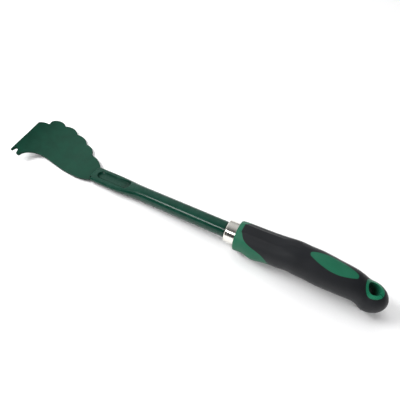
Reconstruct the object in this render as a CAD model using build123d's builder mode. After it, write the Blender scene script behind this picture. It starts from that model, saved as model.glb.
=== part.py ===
"""Hand weeder: a curved, scalloped steel blade on a painted tube, with a two-colour moulded handle.

Millimetres.  Z is up and the tool lies on a table as it would when put down: on the lowest line
of the blade's bend and on the underside of the butt.  The origin is the centre of the hanging
hole, +X points from the blade to the butt, and -Y is the side with the notched blade tip.
"""
from build123d import *
import os
from math import cos, exp, radians, sin

# ---------------------------------------------------------------- how the tool lies
SHAFT_PITCH = 3.45         # degrees the shaft drops towards the blade
SHAFT_ABOVE_HOLE = 5.4     # shaft axis above the centre of the hanging hole, square to the shaft
MID_TO_HOLE = 180.9        # along the shaft, from the middle of the bare shaft to the hole
TABLE_BELOW_HOLE = 16.55

# ---------------------------------------------------------------- blade
BLADE_T = 2.2
BLADE_SKEW = 7.85          # degrees between the blade's front edge and square to the shaft
HEEL_X = -149.6            # lowest line of the bend, where the blade touches the table
HEEL_REAR_R = 80.0         # bend from the heel back to the straight tang
# radius and sweep in degrees of the bends ahead of the heel, tightening towards the front edge
TOE_BENDS = [(175.0, 8.35), (110.0, 10.75), (75.0, 11.7)]
TANG_END_X = -62.0
TANG_HALF_W = 5.5
TANG_SHOULDER_X = -111.8
BLADE_CORNER_R = 0.9
BLADE_REACH = 80.0         # sheet drawn this far each way along the bend before it is cut to outline
BLADE_PRISM_H = 22.0

# ---------------------------------------------------------------- shaft tube
TUBE_R = 8.0
TUBE_WALL = 1.3
TUBE_MOUTH_X = -111.0
TUBE_END_X = 140.0
FLAT_HALF_W = 10.25
FLAT_HALF_H = 3.8
FLAT_END_X = -84.0
ROUND_START_X = -48.0
FLAT_JUNCTION = 83.0       # degrees: where side and top arcs of the flattened section meet
NECKING_STEPS = 6

GROOVE_FRONT_X = -107.0
GROOVE_REAR_X = -64.0
GROOVE_W = 11.4
GROOVE_FLOOR_Z = 1.5
GROOVE_FLOOR_R = 4.4
GROOVE_TOP_Z = 12.0

# ---------------------------------------------------------------- weld
WELD_LEG = 3.3
WELD_HALF_L = 6.4

# ---------------------------------------------------------------- ferrule
FERRULE_FRONT_X = 49.0
FERRULE_R = 11.0
FERRULE_WALL = 0.8
FERRULE_LIP_R = 8.1
FERRULE_EDGE_R = 1.2

# ---------------------------------------------------------------- handle
HANDLE_FRONT_X = 60.0
HANDLE_FRONT_EDGE_R = 1.0
GRIP_T = 2.8               # thickness of the soft skin over the hard core
BUTT_X = 184.0
BUTT_R = 13.9
BUTT_RISE = -8.3
BUTT_LENGTH = 16.2
# distance along the shaft, radius of the round section, height of its centre
HANDLE_SECTIONS = [
    (HANDLE_FRONT_X, 14.1, 0.15),
    (68.0, 14.45, 0.25),
    (75.0, 14.58, 0.3),
    (82.0, 14.65, 0.4),
    (89.0, 14.75, 0.55),
    (97.0, 14.87, 0.9),
    (106.0, 15.05, 1.9),
    (119.0, 15.3, 2.85),
    (134.0, 15.45, 1.8),
    (148.0, 15.1, 0.45),
    (160.0, 14.35, -0.5),
    (170.0, 13.5, -1.5),
    (175.0, 13.2, -3.3),
    (180.0, 13.6, -6.8),
    (BUTT_X, BUTT_R, BUTT_RISE),
]
FLARE = 2.4                # how far the neck flares out low on each side
FLARE_X = 81.0
FLARE_LENGTH = 9.5
FLARE_ANGLE = 38.0         # degrees below level
FLARE_SPREAD = 38.0
FLARE_LEAST = 0.02         # sections with less flare than this are plain circles
SECTION_STEPS = 8
NECK_EDGE = [(63.5, 16.0), (66.2, 12.8), (73.7, 8.7), (84.0, 5.9), (92.0, 2.0), (97.0, -6.0), (99.5, -18.0)]
NECK_FRONT_X = 40.0
NECK_HALF_W = 24.0

THUMB_ENDS_X = (127.0, 169.5)
THUMB_SHOULDERS_X = (129.0, 168.0)
THUMB_SHOULDER_HALF_W = (2.8, 2.6)
THUMB_MID_X = 148.0
THUMB_HALF_W = 7.25
THUMB_PRISM_H = 30.0

# ---------------------------------------------------------------- hanging hole
HOLE_R = 6.0
HOLE_LEAN = 15.85          # degrees the bore leans from the vertical towards the butt
EYELET_R = 8.9
EYELET_PROUD = 0.3         # rim above the grip at the top
EYELET_RECESS = 0.4        # lower end, inside the grip
EYELET_SLIT_W = 0.6
EYELET_SLIT_ANGLE = -22.0
BORE_REACH = 34.0

# ---------------------------------------------------------------- shared frames
ALONG = Vector(cos(radians(SHAFT_PITCH)), 0, sin(radians(SHAFT_PITCH)))
UPRIGHT = Vector(-sin(radians(SHAFT_PITCH)), 0, cos(radians(SHAFT_PITCH)))
MID = UPRIGHT * SHAFT_ABOVE_HOLE - ALONG * MID_TO_HOLE
SHAFT_AXIS = Axis(MID, ALONG)

SIDE = Plane(origin=MID, x_dir=ALONG, z_dir=(0, -1, 0))
TOP = Plane(origin=MID, x_dir=ALONG, z_dir=UPRIGHT)

TABLE = Plane(origin=(MID.X, 0, -TABLE_BELOW_HOLE), x_dir=(1, 0, 0), z_dir=(0, 0, 1))
BEND = Plane(
    origin=TABLE.origin,
    x_dir=(cos(radians(BLADE_SKEW)), sin(radians(BLADE_SKEW)), 0),
    z_dir=(sin(radians(BLADE_SKEW)), -cos(radians(BLADE_SKEW)), 0),
)
BORE = Plane(
    origin=(0, 0, 0),
    x_dir=(cos(radians(HOLE_LEAN)), 0, -sin(radians(HOLE_LEAN))),
    z_dir=(sin(radians(HOLE_LEAN)), 0, cos(radians(HOLE_LEAN))),
)


def across(x):
    """Plane square to the shaft, x from its middle; the plane's own y points up."""
    return Plane(origin=MID + ALONG * x, x_dir=(0, 1, 0), z_dir=ALONG)


def oval(x, half_width, half_height):
    """Flattened section of four tangent arcs; their shared normals stand at the junction angle."""
    lean = radians(FLAT_JUNCTION)
    spread = (half_width - half_height) / (cos(lean) + sin(lean) - 1)
    side_r = half_width - spread * cos(lean)
    top_r = side_r + spread
    side_x = half_width - side_r
    top_y = half_height - top_r
    with BuildSketch(across(x)) as section:
        with BuildLine():
            CenterArc((side_x, 0), side_r, -FLAT_JUNCTION, 2 * FLAT_JUNCTION)
            CenterArc((0, top_y), top_r, FLAT_JUNCTION, 180 - 2 * FLAT_JUNCTION)
            CenterArc((-side_x, 0), side_r, 180 - FLAT_JUNCTION, 2 * FLAT_JUNCTION)
            CenterArc((0, -top_y), top_r, 180 + FLAT_JUNCTION, 180 - 2 * FLAT_JUNCTION)
        make_face()
    return section.sketch


def tube_body(inset):
    """Flattened front, smooth necking and round rear of the tube, shrunk by the inset."""
    with BuildPart() as body:
        sections = []
        for step in range(NECKING_STEPS + 1):
            share = step / NECKING_STEPS
            ease = share * share * (3 - 2 * share)
            x = FLAT_END_X + share * (ROUND_START_X - FLAT_END_X)
            half_width = FLAT_HALF_W + ease * (TUBE_R - FLAT_HALF_W) - inset
            half_height = FLAT_HALF_H + ease * (TUBE_R - FLAT_HALF_H) - inset
            sections.append(oval(x, half_width, half_height))
        loft(sections)
        extrude(sections[0], amount=TUBE_MOUTH_X - FLAT_END_X)
        extrude(sections[-1], amount=TUBE_END_X - ROUND_START_X)
    return body.part


def groove_body(grown):
    """The pressed groove's hollow, grown outwards by the given wall."""
    with BuildPart() as body:
        with BuildSketch(TOP.offset(GROOVE_FLOOR_Z - grown)):
            with Locations(((GROOVE_FRONT_X + GROOVE_REAR_X) / 2, 0)):
                SlotOverall(GROOVE_REAR_X - GROOVE_FRONT_X + 2 * grown, GROOVE_W + 2 * grown)
        extrude(amount=GROOVE_TOP_Z)
        floor_edges = body.faces().sort_by(Axis(MID, UPRIGHT))[0].edges()
        fillet(floor_edges, GROOVE_FLOOR_R + grown)
    return body.part


def handle_section(x, radius, rise):
    """Round handle section, flared low on both sides close to the neck."""
    flare = FLARE * exp(-(((x - FLARE_X) / FLARE_LENGTH) ** 2))
    half = []
    for step in range(SECTION_STEPS + 1):
        angle = 180 * step / SECTION_STEPS - 90
        near_lobe = exp(-(((angle + FLARE_ANGLE) / FLARE_SPREAD) ** 2))
        far_lobe = exp(-(((angle + 180 - FLARE_ANGLE) / FLARE_SPREAD) ** 2))
        reach = radius + flare * (near_lobe + far_lobe)
        half.append((reach * cos(radians(angle)), rise + reach * sin(radians(angle))))
    with BuildSketch(across(x)) as section:
        with BuildLine():
            if flare > FLARE_LEAST:
                Spline(*half, tangents=[(1, 0), (-1, 0)])
                Spline(*[(-y, z) for y, z in half], tangents=[(-1, 0), (1, 0)])
            else:
                CenterArc((0, rise), radius, -90, 180)
                CenterArc((0, rise), radius, 90, 180)
        make_face()
    return section.sketch


def handle_body(inset):
    """The handle's outer shape, shrunk by the inset."""
    with BuildPart() as body:
        sections = []
        for x, radius, rise in HANDLE_SECTIONS:
            sections.append(handle_section(x, radius - inset, rise))
        loft(sections)
        with BuildSketch(SIDE):
            with BuildLine():
                EllipticalCenterArc((BUTT_X, BUTT_RISE), BUTT_LENGTH - inset, BUTT_R - inset, 0, arc_size=90)
                Line((BUTT_X, BUTT_RISE + BUTT_R - inset), (BUTT_X, BUTT_RISE))
                Line((BUTT_X, BUTT_RISE), (BUTT_X + BUTT_LENGTH - inset, BUTT_RISE))
            make_face()
        revolve(axis=Axis(MID + UPRIGHT * BUTT_RISE, ALONG))
    return body.part


def bore_cylinder(radius):
    """A round bar along the hanging hole, longer than the handle is deep."""
    with BuildPart() as bar:
        with BuildSketch(BORE):
            Circle(radius)
        extrude(amount=BORE_REACH, both=True)
    return bar.part


# ---------------------------------------------------------------- blade
front_corners = []
with BuildPart() as blade:
    with BuildSketch(BEND):
        with BuildLine():
            for start_y, side in ((0, 1), (BLADE_T, -1)):
                start = Vector(HEEL_X, start_y)
                heading = Vector(-1, 0)
                for bend_r, sweep in TOE_BENDS:
                    bend = JernArc(start, heading, bend_r + side * BLADE_T / 2, -sweep)
                    start = bend @ 1
                    heading = bend % 1
                front_corners.append(start)
            Line(front_corners[0], front_corners[1])
            under_heel = JernArc((HEEL_X, 0), (1, 0), HEEL_REAR_R + BLADE_T / 2, SHAFT_PITCH)
            over_heel = JernArc((HEEL_X, BLADE_T), (1, 0), HEEL_REAR_R - BLADE_T / 2, SHAFT_PITCH)
            tang_length = TANG_END_X - HEEL_X
            under_tang = PolarLine(under_heel @ 1, tang_length, SHAFT_PITCH)
            over_tang = PolarLine(over_heel @ 1, tang_length, SHAFT_PITCH)
            Line(under_tang @ 1, over_tang @ 1)
        make_face()
    extrude(amount=BLADE_REACH, both=True)
    with BuildSketch(TABLE.offset(-1)) as outline:
        with BuildLine():
            Line((TANG_END_X, TANG_HALF_W), (TANG_END_X, -TANG_HALF_W))
            Line((TANG_END_X, -TANG_HALF_W), (TANG_SHOULDER_X, -TANG_HALF_W))
            Line((TANG_SHOULDER_X, -TANG_HALF_W), (TANG_SHOULDER_X, -9.2))
            Spline(
                (TANG_SHOULDER_X, -9.2),
                (-122.0, -12.3),
                (-136.0, -12.9),
                (-157.0, -10.7),
                (-175.0, -8.4),
                (-187.0, -9.2),
                (-194.5, -14.0),
                (-197.9, -23.8),
            )
            Line((-197.9, -23.8), (-200.7, -24.8))
            Line((-200.7, -24.8), (-202.7, -19.3))
            Line((-202.7, -19.3), (-205.4, -18.4))
            Line((-205.4, -18.4), (-205.9, -24.8))
            Line((-205.9, -24.8), (-208.25, -24.15))
            Line((-208.25, -24.15), (-214.4, 20.5))
            ThreePointArc((-214.4, 20.5), (-212.4, 28.4), (-205.5, 32.8))
            ThreePointArc((-205.5, 32.8), (-203.5, 44.0), (-191.5, 43.7))
            ThreePointArc((-191.5, 43.7), (-180.8, 46.6), (-172.2, 41.5))
            ThreePointArc((-172.2, 41.5), (-161.0, 40.9), (-152.0, 33.8))
            ThreePointArc((-152.0, 33.8), (-141.6, 31.0), (-135.0, 22.5))
            ThreePointArc((-135.0, 22.5), (-123.0, 18.8), (TANG_SHOULDER_X, 9.2))
            Line((TANG_SHOULDER_X, 9.2), (TANG_SHOULDER_X, TANG_HALF_W))
            Line((TANG_SHOULDER_X, TANG_HALF_W), (TANG_END_X, TANG_HALF_W))
        make_face()
        fillet(outline.vertices(), BLADE_CORNER_R)
    extrude(amount=BLADE_PRISM_H, mode=Mode.INTERSECT)
blade.part.label = "blade"

# ---------------------------------------------------------------- shaft tube
with BuildPart() as cavity:
    add(tube_body(TUBE_WALL))
    add(groove_body(TUBE_WALL), mode=Mode.SUBTRACT)

with BuildPart() as shaft_tube:
    add(tube_body(0))
    add(groove_body(0), mode=Mode.SUBTRACT)
    add(cavity.part, mode=Mode.SUBTRACT)
shaft_tube.part.label = "shaft_tube"

# ---------------------------------------------------------------- weld bead at the tube's mouth
with BuildPart() as tang_weld:
    with BuildSketch(SIDE):
        with BuildLine():
            Line((TUBE_MOUTH_X, 0), (TUBE_MOUTH_X, WELD_LEG))
            RadiusArc((TUBE_MOUTH_X, WELD_LEG), (TUBE_MOUTH_X - WELD_LEG, 0), -WELD_LEG)
            Line((TUBE_MOUTH_X - WELD_LEG, 0), (TUBE_MOUTH_X, 0))
        make_face()
    extrude(amount=WELD_HALF_L, both=True)
    add(blade.part, mode=Mode.SUBTRACT)
tang_weld.part.label = "tang_weld"

# ---------------------------------------------------------------- ferrule
with BuildPart() as ferrule:
    with BuildSketch(SIDE) as ferrule_wall:
        with BuildLine():
            Polyline(
                (FERRULE_FRONT_X, FERRULE_LIP_R),
                (FERRULE_FRONT_X, FERRULE_R),
                (HANDLE_FRONT_X, FERRULE_R),
                (HANDLE_FRONT_X, FERRULE_R - FERRULE_WALL),
                (FERRULE_FRONT_X + FERRULE_WALL, FERRULE_R - FERRULE_WALL),
                (FERRULE_FRONT_X + FERRULE_WALL, FERRULE_LIP_R),
                (FERRULE_FRONT_X, FERRULE_LIP_R),
            )
        make_face()
    revolve(axis=SHAFT_AXIS)
    rim = ferrule.edges().filter_by(GeomType.CIRCLE).sort_by(Axis(MID, ALONG))
    fillet([edge for edge in rim if edge.radius > FERRULE_R - 0.1][0], FERRULE_EDGE_R)
ferrule.part.label = "ferrule"

# ---------------------------------------------------------------- shared handle shapes
with BuildPart() as envelope:
    add(handle_body(0))
    with BuildSketch(SIDE):
        with BuildLine():
            corner_x = HANDLE_FRONT_X + HANDLE_FRONT_EDGE_R
            corner_r = HANDLE_SECTIONS[0][1]
            rounding = CenterArc((corner_x, corner_r - HANDLE_FRONT_EDGE_R), HANDLE_FRONT_EDGE_R, 90, 90)
            Polyline(
                rounding @ 1,
                (NECK_FRONT_X, corner_r - HANDLE_FRONT_EDGE_R),
                (NECK_FRONT_X, NECK_HALF_W),
                (corner_x, NECK_HALF_W),
                rounding @ 0,
            )
        make_face()
    revolve(axis=SHAFT_AXIS, mode=Mode.SUBTRACT)

with BuildPart() as neck_block:
    with BuildSketch(SIDE):
        with BuildLine():
            neck_edge = Spline(*NECK_EDGE)
            Polyline(
                neck_edge @ 1,
                (NECK_EDGE[-1][0], -NECK_HALF_W),
                (NECK_FRONT_X, -NECK_HALF_W),
                (NECK_FRONT_X, NECK_HALF_W),
                (NECK_EDGE[0][0], NECK_HALF_W),
                neck_edge @ 0,
            )
        make_face()
    extrude(amount=NECK_HALF_W, both=True)

with BuildPart() as thumb_block:
    with BuildSketch(TOP):
        with BuildLine():
            for flip in (1, -1):
                ThreePointArc(
                    (THUMB_SHOULDERS_X[0], flip * THUMB_SHOULDER_HALF_W[0]),
                    (THUMB_MID_X, flip * THUMB_HALF_W),
                    (THUMB_SHOULDERS_X[1], flip * THUMB_SHOULDER_HALF_W[1]),
                )
            for end in (0, 1):
                ThreePointArc(
                    (THUMB_SHOULDERS_X[end], THUMB_SHOULDER_HALF_W[end]),
                    (THUMB_ENDS_X[end], 0),
                    (THUMB_SHOULDERS_X[end], -THUMB_SHOULDER_HALF_W[end]),
                )
        make_face()
    extrude(amount=THUMB_PRISM_H)

with BuildPart() as neck_shell:
    add(envelope.part)
    add(neck_block.part, mode=Mode.INTERSECT)

with BuildPart() as thumb_pad:
    add(envelope.part)
    add(thumb_block.part, mode=Mode.INTERSECT)

# ---------------------------------------------------------------- hard core of the handle
with BuildPart() as handle_core:
    add(handle_body(GRIP_T))
    add(neck_shell.part)
    add(thumb_pad.part)
    with BuildSketch(across(FERRULE_FRONT_X + FERRULE_WALL)):
        Circle(FERRULE_R - FERRULE_WALL)
    extrude(amount=HANDLE_FRONT_X - FERRULE_FRONT_X)
    with BuildSketch(across(FERRULE_FRONT_X)):
        Circle(TUBE_R)
    extrude(amount=TUBE_END_X - FERRULE_FRONT_X, mode=Mode.SUBTRACT)
    add(bore_cylinder(EYELET_R), mode=Mode.SUBTRACT)
handle_core.part.label = "handle_core"

# ---------------------------------------------------------------- soft grip sleeve
with BuildPart() as grip_sleeve:
    add(envelope.part)
    add(handle_body(GRIP_T), mode=Mode.SUBTRACT)
    add(neck_block.part, mode=Mode.SUBTRACT)
    add(thumb_block.part, mode=Mode.SUBTRACT)
    add(bore_cylinder(EYELET_R), mode=Mode.SUBTRACT)
grip_sleeve.part.label = "grip_sleeve"

# ---------------------------------------------------------------- eyelet lining the hanging hole
with BuildPart() as eyelet_rim:
    add(handle_body(-EYELET_PROUD))
    with BuildSketch(BORE):
        Circle(EYELET_R)
    extrude(amount=BORE_REACH, mode=Mode.INTERSECT)

with BuildPart() as hang_eyelet:
    add(handle_body(EYELET_RECESS))
    add(bore_cylinder(EYELET_R), mode=Mode.INTERSECT)
    add(eyelet_rim.part)
    add(bore_cylinder(HOLE_R), mode=Mode.SUBTRACT)
    with BuildSketch(BORE):
        with Locations(Rotation(0, 0, EYELET_SLIT_ANGLE) * Pos((HOLE_R + EYELET_R) / 2, 0)):
            Rectangle(EYELET_R, EYELET_SLIT_W)
    extrude(amount=BORE_REACH, both=True, mode=Mode.SUBTRACT)
hang_eyelet.part.label = "hang_eyelet"

os.makedirs("parts", exist_ok=True)
export_step(blade.part, "parts/blade.step")
export_step(shaft_tube.part, "parts/shaft_tube.step")
export_step(tang_weld.part, "parts/tang_weld.step")
export_step(ferrule.part, "parts/ferrule.step")
export_step(handle_core.part, "parts/handle_core.step")
export_step(grip_sleeve.part, "parts/grip_sleeve.step")
export_step(hang_eyelet.part, "parts/hang_eyelet.step")
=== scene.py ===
"""Looks for the hand weeder: painted steel blade and tube, plated ferrule, two-colour handle.

Metres, in the part's own frame.  The CAD pieces keep their shapes; this script gives them their
materials, and adds the table, the lights and the camera.
"""
import bmesh
import bpy
from math import radians
from mathutils import Euler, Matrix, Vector


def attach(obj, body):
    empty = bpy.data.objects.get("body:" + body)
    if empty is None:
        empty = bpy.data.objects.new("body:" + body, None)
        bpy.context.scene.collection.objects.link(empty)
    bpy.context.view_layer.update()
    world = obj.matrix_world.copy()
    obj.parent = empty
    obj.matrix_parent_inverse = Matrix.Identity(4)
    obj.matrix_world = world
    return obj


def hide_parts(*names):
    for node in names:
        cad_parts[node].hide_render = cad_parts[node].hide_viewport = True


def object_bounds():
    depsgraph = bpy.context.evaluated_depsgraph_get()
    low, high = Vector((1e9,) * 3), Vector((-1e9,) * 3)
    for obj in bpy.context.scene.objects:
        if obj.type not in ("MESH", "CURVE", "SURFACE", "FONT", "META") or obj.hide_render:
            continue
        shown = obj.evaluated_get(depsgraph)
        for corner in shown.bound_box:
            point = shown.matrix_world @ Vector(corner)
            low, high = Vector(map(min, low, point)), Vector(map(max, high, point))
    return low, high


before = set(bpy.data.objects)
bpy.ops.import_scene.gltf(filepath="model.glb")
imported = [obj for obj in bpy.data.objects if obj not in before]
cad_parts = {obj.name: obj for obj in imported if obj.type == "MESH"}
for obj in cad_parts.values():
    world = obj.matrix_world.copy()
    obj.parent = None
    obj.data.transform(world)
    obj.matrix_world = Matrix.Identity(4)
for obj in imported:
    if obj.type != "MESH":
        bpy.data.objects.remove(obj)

cad_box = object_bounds()

# ---------------------------------------------------------------- camera
CAMERA_PLACE = (-0.0796, -0.1856, 0.2774)
CAMERA_DOWN = 51.23          # degrees below the horizon
CAMERA_TURN = 24.31          # degrees from looking along +Y, towards -X
CAMERA_ROLL = 4.87
CAMERA_LENS = 31.5           # millimetres on the 36 mm sensor

# ---------------------------------------------------------------- colours, linear RGB
BLADE_GREEN = (0.0030, 0.041, 0.0240)
TUBE_GREEN = (0.0030, 0.038, 0.0235)
CORE_GREEN = (0.012, 0.110, 0.060)
EYELET_GREEN = (0.014, 0.160, 0.085)
GRIP_BLACK = (0.0095, 0.0105, 0.0125)
NICKEL = (0.88, 0.86, 0.80)
TABLE_WHITE = (0.93, 0.93, 0.935)

# painted shade: the colour that grooves and holes are darkened towards
PAINTED_SHADE_BLACK = (0.002, 0.004, 0.003, 1)

# ---------------------------------------------------------------- table and light
TABLE_HALF = 3.0             # half the side of the square table top
LAMP_DISTANCE = 1.3
# name, direction from the tool, side of the square lamp, power in watts; none shows in reflections
LAMPS = (
    ("back_light", (-0.15, 0.55, 0.90), 1.2, 9.0),
    ("left_light", (-1.20, -0.25, 1.00), 0.6, 17.0),
    ("front_fill", (0.50, -0.90, 0.70), 1.2, 10.0),
)
STRIP_DIRECTION = (-0.353, -0.655, 0.670)    # shows only in reflections, as the tube's bright line
STRIP_SIZE = (0.45, 0.22)
STRIP_POWER = 5.0
WINDOW_DIRECTION = (-0.75, 0.45, 0.50)       # the brightest part of the room
GLOW_START = 0.45            # cosine from the window's direction at which the room starts to brighten
GLOW_FULL = 0.95             # and at which it is brightest
GLOW_LEAST = 0.02
ROOM_STRENGTH = 0.85

# ---------------------------------------------------------------- lengths and angles
MM = 0.001
WELD_GAP = 1e-7              # vertices closer than this are one
FLAT_ANGLE = radians(0.5)    # neighbouring faces closer than this are merged before rounding
CRISP_ANGLE = radians(38)    # edges sharper than this are rounded


def node_tree(name):
    """A new material, its node tree and its Principled shader."""
    material = bpy.data.materials.new(name)
    material.use_nodes = True
    return material, material.node_tree, material.node_tree.nodes["Principled BSDF"]


def noise(tree, size_mm, detail=3.0, roughness=0.5):
    """Object-space noise with grains of about the given size."""
    place = tree.nodes.new("ShaderNodeTexCoord")
    grain = tree.nodes.new("ShaderNodeTexNoise")
    grain.inputs["Scale"].default_value = 1.0 / (size_mm * MM)
    grain.inputs["Detail"].default_value = detail
    grain.inputs["Roughness"].default_value = roughness
    tree.links.new(place.outputs["Object"], grain.inputs["Vector"])
    return grain.outputs["Fac"]


def spread(tree, source, low, high, start=0.3, end=0.7):
    """Maps a noise value to a range of numbers."""
    ramp = tree.nodes.new("ShaderNodeMapRange")
    ramp.inputs["From Min"].default_value = start
    ramp.inputs["From Max"].default_value = end
    ramp.inputs["To Min"].default_value = low
    ramp.inputs["To Max"].default_value = high
    tree.links.new(source, ramp.inputs["Value"])
    return ramp.outputs["Result"]


def tint(tree, source, dark, light, start=0.3, end=0.7):
    """Maps a noise value to a colour between two."""
    ramp = tree.nodes.new("ShaderNodeValToRGB")
    ramp.color_ramp.elements[0].position = start
    ramp.color_ramp.elements[0].color = (*dark, 1)
    ramp.color_ramp.elements[1].position = end
    ramp.color_ramp.elements[1].color = (*light, 1)
    tree.links.new(source, ramp.inputs["Fac"])
    return ramp.outputs["Color"]


def bump(tree, source, height_mm, strength, under=None):
    """Raises the surface by the noise, on top of an earlier bump."""
    node = tree.nodes.new("ShaderNodeBump")
    node.inputs["Distance"].default_value = height_mm * MM
    node.inputs["Strength"].default_value = strength
    tree.links.new(source, node.inputs["Height"])
    if under is not None:
        tree.links.new(under, node.inputs["Normal"])
    return node.outputs["Normal"]


def scaled(colour, factor):
    """A colour made lighter or darker."""
    return tuple(channel * factor for channel in colour)


def painted_recess_shade(tree, colour, reach_mm, shut, open_sky):
    """Paints shade into a colour in grooves and holes: black up to one share of open sky, untouched from
    another.
    """
    recess = tree.nodes.new("ShaderNodeAmbientOcclusion")
    recess.inputs["Distance"].default_value = reach_mm * MM
    shaded_colour = tree.nodes.new("ShaderNodeMixRGB")
    shaded_colour.inputs["Color1"].default_value = PAINTED_SHADE_BLACK
    openness = spread(tree, recess.outputs["AO"], 0.0, 1.0, start=shut, end=open_sky)
    tree.links.new(openness, shaded_colour.inputs["Fac"])
    tree.links.new(colour, shaded_colour.inputs["Color2"])
    return shaded_colour.outputs["Color"]


def painted_steel(name, colour, gloss_low, gloss_high, lacquer):
    """Powder coat: faint orange peel, patchy sheen and some clear gloss, with painted shade in recesses."""
    material, tree, shader = node_tree(name)
    patches = noise(tree, 9.0, detail=2.0)
    peel = noise(tree, 0.9, detail=2.0)
    speckle = noise(tree, 0.25, detail=1.0)
    paint = tint(tree, patches, scaled(colour, 0.88), scaled(colour, 1.12))
    # painted shade darkens the paint in the tube's groove and other recesses
    tree.links.new(painted_recess_shade(tree, paint, 9.0, 0.50, 0.97), shader.inputs["Base Color"])
    tree.links.new(spread(tree, patches, gloss_low, gloss_high), shader.inputs["Roughness"])
    first = bump(tree, peel, 0.02, 0.25)
    tree.links.new(bump(tree, speckle, 0.01, 0.15, first), shader.inputs["Normal"])
    shader.inputs["Specular IOR Level"].default_value = 0.2
    shader.inputs["Coat Weight"].default_value = lacquer
    shader.inputs["Coat Roughness"].default_value = 0.12
    return material


def plated_metal(name, colour):
    """Bright nickel plate: a soft haze and fine marks."""
    material, tree, shader = node_tree(name)
    haze = noise(tree, 4.0, detail=3.0)
    marks = noise(tree, 0.3, detail=2.0)
    plate = tint(tree, haze, scaled(colour, 0.94), scaled(colour, 1.03))
    tree.links.new(plate, shader.inputs["Base Color"])
    tree.links.new(spread(tree, haze, 0.16, 0.24), shader.inputs["Roughness"])
    tree.links.new(bump(tree, marks, 0.01, 0.15), shader.inputs["Normal"])
    shader.inputs["Metallic"].default_value = 1.0
    return material


def moulded_plastic(name, colour, rough_low, rough_high, grain_mm, depth_mm):
    """Injection-moulded polypropylene: spark-eroded grain and slight flow variation, with painted shade in
    recesses.
    """
    material, tree, shader = node_tree(name)
    flow = noise(tree, 14.0, detail=2.0)
    grain = noise(tree, grain_mm, detail=3.0, roughness=0.6)
    plastic = tint(tree, flow, scaled(colour, 0.92), scaled(colour, 1.08))
    # painted shade darkens the plastic in recesses such as the eyelet's bore
    tree.links.new(painted_recess_shade(tree, plastic, 12.0, 0.35, 0.90), shader.inputs["Base Color"])
    shader.inputs["Specular IOR Level"].default_value = 0.3
    tree.links.new(spread(tree, grain, rough_low, rough_high), shader.inputs["Roughness"])
    tree.links.new(bump(tree, grain, depth_mm, 0.4), shader.inputs["Normal"])
    return material


def soft_rubber(name, colour):
    """Soft-touch overmould: matt, very fine grain, a faint sheen at grazing angles."""
    material, tree, shader = node_tree(name)
    handling = noise(tree, 22.0, detail=3.0)
    grain = noise(tree, 0.45, detail=3.0, roughness=0.6)
    rubber = tint(tree, handling, scaled(colour, 0.85), scaled(colour, 1.15))
    tree.links.new(rubber, shader.inputs["Base Color"])
    tree.links.new(spread(tree, handling, 0.50, 0.62), shader.inputs["Roughness"])
    tree.links.new(bump(tree, grain, 0.06, 0.45), shader.inputs["Normal"])
    shader.inputs["Specular IOR Level"].default_value = 0.3
    shader.inputs["Sheen Weight"].default_value = 0.06
    shader.inputs["Sheen Roughness"].default_value = 0.4
    return material


def dress(node_name, material):
    """Gives a CAD piece its material in every slot."""
    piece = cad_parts[node_name]
    for place in piece.material_slots:
        place.material = material
    if not piece.material_slots:
        piece.data.materials.append(material)


def rounded(node_name, width_mm, material):
    """Stands in for a CAD piece, with its crisp edges rounded over as paint and polishing leave them."""
    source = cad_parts[node_name]
    form = bmesh.new()
    form.from_mesh(source.data)
    bmesh.ops.remove_doubles(form, verts=form.verts, dist=WELD_GAP)
    bmesh.ops.dissolve_limit(form, angle_limit=FLAT_ANGLE, verts=form.verts, edges=form.edges)
    crisp = [edge for edge in form.edges if edge.is_manifold and edge.calc_face_angle() > CRISP_ANGLE]
    bmesh.ops.bevel(
        form, geom=crisp, offset=width_mm * MM, offset_type="OFFSET", segments=3, profile=0.5, affect="EDGES"
    )
    for face in form.faces:
        face.smooth = True
    mesh = bpy.data.meshes.new(node_name + "_rounded")
    form.to_mesh(mesh)
    form.free()
    mesh.materials.append(material)
    piece = bpy.data.objects.new(node_name + "_rounded", mesh)
    bpy.context.scene.collection.objects.link(piece)
    normals = piece.modifiers.new("normals", "WEIGHTED_NORMAL")
    normals.weight = 80
    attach(piece, "root")
    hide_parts(node_name)
    return piece


# ---------------------------------------------------------------- materials on the CAD pieces
blade_paint = painted_steel("blade_paint", BLADE_GREEN, 0.34, 0.46, 0.04)
rounded("blade", 0.35, blade_paint)
rounded("tang_weld", 0.3, blade_paint)
rounded("shaft_tube", 0.4, painted_steel("tube_paint", TUBE_GREEN, 0.22, 0.32, 0.22))
dress("ferrule", plated_metal("ferrule_plating", NICKEL))
dress("handle_core", moulded_plastic("core_plastic", CORE_GREEN, 0.42, 0.55, 0.5, 0.05))
dress("grip_sleeve", soft_rubber("grip_rubber", GRIP_BLACK))
dress("hang_eyelet", moulded_plastic("eyelet_plastic", EYELET_GREEN, 0.25, 0.34, 0.8, 0.03))

# ---------------------------------------------------------------- table
table_height = cad_box[0].z
table_corners = []
for corner_x, corner_y in ((-1, -1), (1, -1), (1, 1), (-1, 1)):
    table_corners.append((corner_x * TABLE_HALF, corner_y * TABLE_HALF, table_height))
table_mesh = bpy.data.meshes.new("table")
table_mesh.from_pydata(table_corners, [], [(0, 1, 2, 3)])
table_piece = bpy.data.objects.new("table", table_mesh)
bpy.context.scene.collection.objects.link(table_piece)
table_material, table_tree, table_shader = node_tree("table_cloth")
weave = noise(table_tree, 0.8, detail=2.0)
cloth = tint(table_tree, weave, scaled(TABLE_WHITE, 0.97), TABLE_WHITE)
table_tree.links.new(cloth, table_shader.inputs["Base Color"])
table_shader.inputs["Roughness"].default_value = 0.9
table_mesh.materials.append(table_material)

# ---------------------------------------------------------------- light
centre = (cad_box[0] + cad_box[1]) / 2


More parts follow.
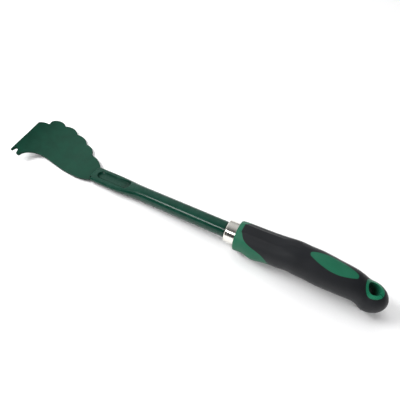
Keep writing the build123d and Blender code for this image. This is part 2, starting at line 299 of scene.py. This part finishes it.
def soft_box(name, direction, width, height, power):
    """A rectangular studio light aimed at the middle of the tool."""
    lamp = bpy.data.lights.new(name, "AREA")
    lamp.shape = "RECTANGLE"
    lamp.size = width
    lamp.size_y = height
    lamp.energy = power
    holder = bpy.data.objects.new(name, lamp)
    towards = Vector(direction).normalized()
    holder.location = centre + towards * LAMP_DISTANCE
    holder.rotation_euler = towards.to_track_quat("Z", "Y").to_euler()
    bpy.context.scene.collection.objects.link(holder)
    return holder


for lamp_name, lamp_direction, side, watts in LAMPS:
    lamp_holder = soft_box(lamp_name, lamp_direction, side, side, watts)
    lamp_holder.visible_glossy = False
strip = soft_box("highlight_strip", STRIP_DIRECTION, *STRIP_SIZE, STRIP_POWER)
strip.visible_diffuse = False

world = bpy.data.worlds.new("studio")
world.use_nodes = True
sky = world.node_tree.nodes["Background"]
sky.inputs["Strength"].default_value = ROOM_STRENGTH
direction = world.node_tree.nodes.new("ShaderNodeTexCoord")
nearness = world.node_tree.nodes.new("ShaderNodeVectorMath")
nearness.operation = "DOT_PRODUCT"
nearness.inputs[1].default_value = Vector(WINDOW_DIRECTION).normalized()
glow = world.node_tree.nodes.new("ShaderNodeMapRange")
glow.inputs["From Min"].default_value = GLOW_START
glow.inputs["From Max"].default_value = GLOW_FULL
glow.inputs["To Min"].default_value = GLOW_LEAST
world.node_tree.links.new(direction.outputs["Generated"], nearness.inputs[0])
world.node_tree.links.new(nearness.outputs["Value"], glow.inputs["Value"])
world.node_tree.links.new(glow.outputs["Result"], sky.inputs["Color"])
bpy.context.scene.world = world
bpy.context.scene.view_settings.view_transform = "Standard"

# ---------------------------------------------------------------- camera
lens = bpy.data.cameras.new("photo_camera")
lens.lens = CAMERA_LENS
lens.sensor_width = 36.0
camera = bpy.data.objects.new("photo_camera", lens)
camera.location = CAMERA_PLACE
turn = Euler((0, 0, radians(CAMERA_TURN))).to_matrix()
tilt = Euler((radians(90 - CAMERA_DOWN), 0, 0)).to_matrix()
roll = Euler((0, 0, radians(CAMERA_ROLL))).to_matrix()
camera.rotation_euler = (turn @ tilt @ roll).to_euler()
bpy.context.scene.collection.objects.link(camera)
bpy.context.scene.camera = camera
